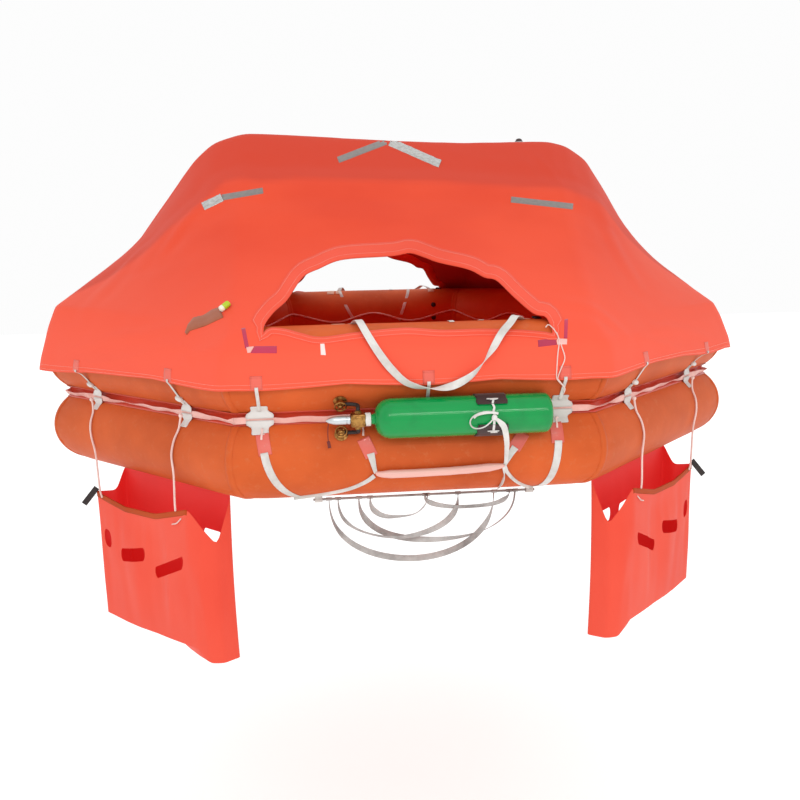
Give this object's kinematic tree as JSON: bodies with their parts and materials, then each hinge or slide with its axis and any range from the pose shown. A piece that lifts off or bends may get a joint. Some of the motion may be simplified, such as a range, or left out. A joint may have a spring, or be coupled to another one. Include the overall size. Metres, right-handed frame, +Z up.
{
  "type": "inflatable life raft",
  "caption": "Canopied inflatable life raft: stacked ring tubes, arch tube, canopy with front and rear doors, water pockets, gas bottle and a webbing ladder that swings.",
  "frame": {"origin": "middle of the raft in plan, at the waterline of the empty raft", "axes": "+Z up; -Y out through the front door, the side of the gas bottle; +X to the right seen from the front"},
  "size_m": [3.0524, 3.0437, 2.1296],
  "materials": {
    "tube_fabric": "rubber-coated nylon, satin orange",
    "canopy_cloth": "thin coated nylon, red-orange, slightly translucent",
    "pocket_cloth": "thin uncoated nylon, red-orange",
    "floor_fabric": "rubber-coated nylon, dark orange",
    "webbing": "white polyester webbing and cord",
    "step_webbing": "pale pink coated webbing over a stiff core",
    "cradle_cloth": "dark brown coated cloth",
    "bottle_enamel": "glossy green enamel",
    "brass": "dull cast brass",
    "head_plastic": "white moulded plastic",
    "dark_rubber": "matt black rubber",
    "lamp_plastic": "yellow-green moulded plastic",
    "steel": "stainless wire"
  },
  "bodies": {
    "raft": {"lower_tube": "tube_fabric", "upper_tube": "tube_fabric", "arch_tube": "tube_fabric", "floor": "floor_fabric", "canopy_front": "canopy_cloth", "canopy_rear": "canopy_cloth", "lifeline": "webbing", "gas_bottle": "bottle_enamel", "valve_body": "brass", "operating_head": "head_plastic", "inlet_valve_upper": "brass", "inlet_valve_lower": "brass", "gas_hose_upper": "dark_rubber", "gas_hose_lower": "dark_rubber", "cradle_flap_upper": "cradle_cloth", "cradle_flap_lower": "cradle_cloth", "cradle_lacing": "webbing", "boarding_strap_front": "webbing", "boarding_strap_rear": "webbing", "step_patch_left": "webbing", "step_patch_right": "webbing", "boarding_step": "step_webbing", "ladder_anchor_left": "webbing", "ladder_anchor_right": "webbing", "ladder_strap_left": "webbing", "ladder_strap_right": "webbing", "pocket_front_left": "pocket_cloth", "pocket_front_right": "pocket_cloth", "pocket_rear_left": "pocket_cloth", "pocket_rear_right": "pocket_cloth", "pocket_front_left_cord_a": "webbing", "pocket_front_left_cord_b": "webbing", "pocket_front_right_cord_a": "webbing", "pocket_front_right_cord_b": "webbing", "pocket_rear_left_cord_a": "webbing", "pocket_rear_left_cord_b": "webbing", "pocket_rear_right_cord_a": "webbing", "pocket_rear_right_cord_b": "webbing", "canopy_lamp": "dark_rubber", "lamp_cell": "lamp_plastic", "inner_grab_line": "webbing", "topping_valve_a": "dark_rubber", "topping_valve_b": "dark_rubber", "painter_patch": "webbing", "painter_ring": "steel"},
    "ladder": {"boarding_ladder": "webbing"}
  },
  "joints": [
    {"name": "ladder_swing", "type": "hinge", "parent": "raft", "child": "ladder", "pos_m": [0.035, -1.28, -0.066], "axis": [1, 0, 0], "range_deg": [-60, 60]}
  ]
}
